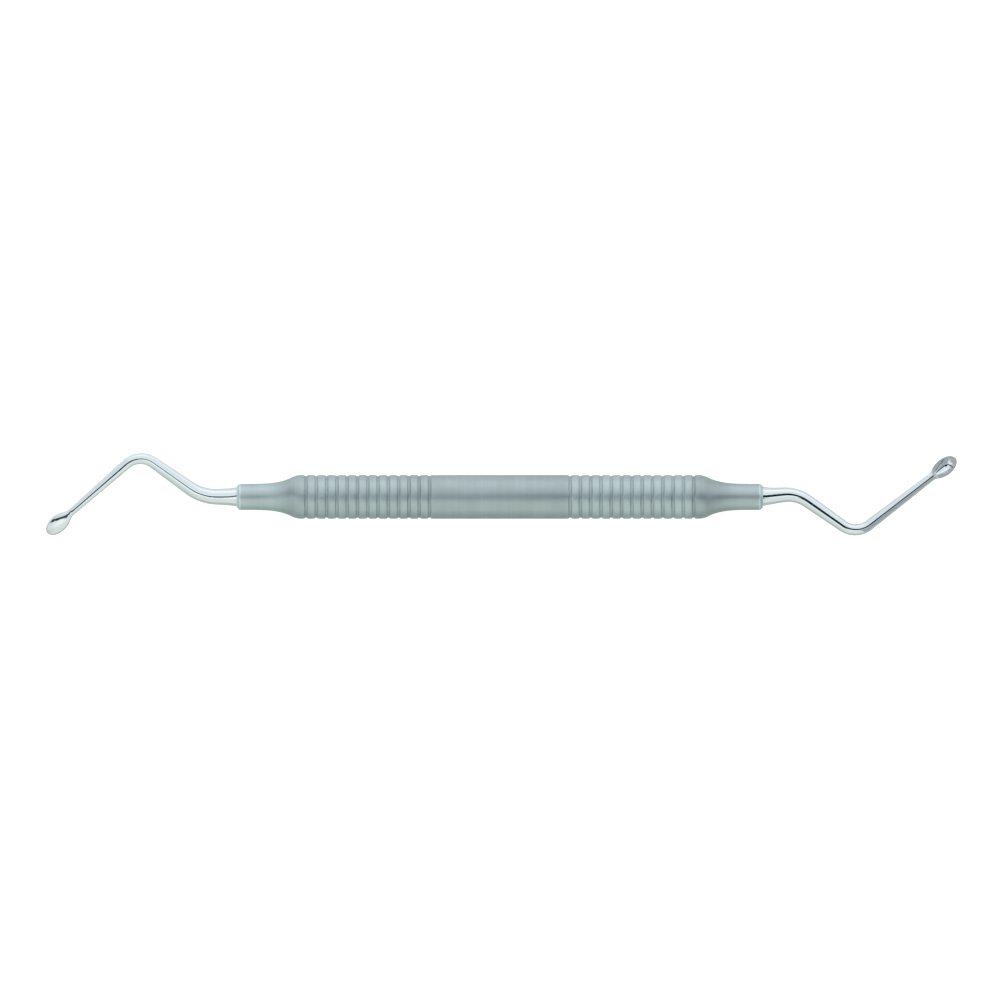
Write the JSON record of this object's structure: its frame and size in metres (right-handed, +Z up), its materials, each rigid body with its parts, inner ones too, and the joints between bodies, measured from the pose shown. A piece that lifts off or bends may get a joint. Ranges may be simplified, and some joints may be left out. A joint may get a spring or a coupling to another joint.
{
  "type": "bone curette",
  "caption": "Double-ended bone curette: slim ring-grooved steel handle with a bent, tapering shank and a small oval spoon at each end, the spoons facing opposite ways.",
  "frame": {"origin": "middle of the handle's length, on the underside of its smooth band, where it lies on a table", "axes": "+X along the handle towards the right working end, whose bowl faces up; +Y across it in the plane of the shanks' bends, towards the left knee; +Z up, out of that plane"},
  "size_m": [0.1662, 0.015, 0.008],
  "materials": {
    "satin_steel": "bead-blasted satin stainless steel",
    "polished_steel": "mirror-polished stainless steel"
  },
  "bodies": {
    "root": {"handle": "satin_steel", "left_working_end": "polished_steel", "right_working_end": "polished_steel"}
  },
  "joints": []
}
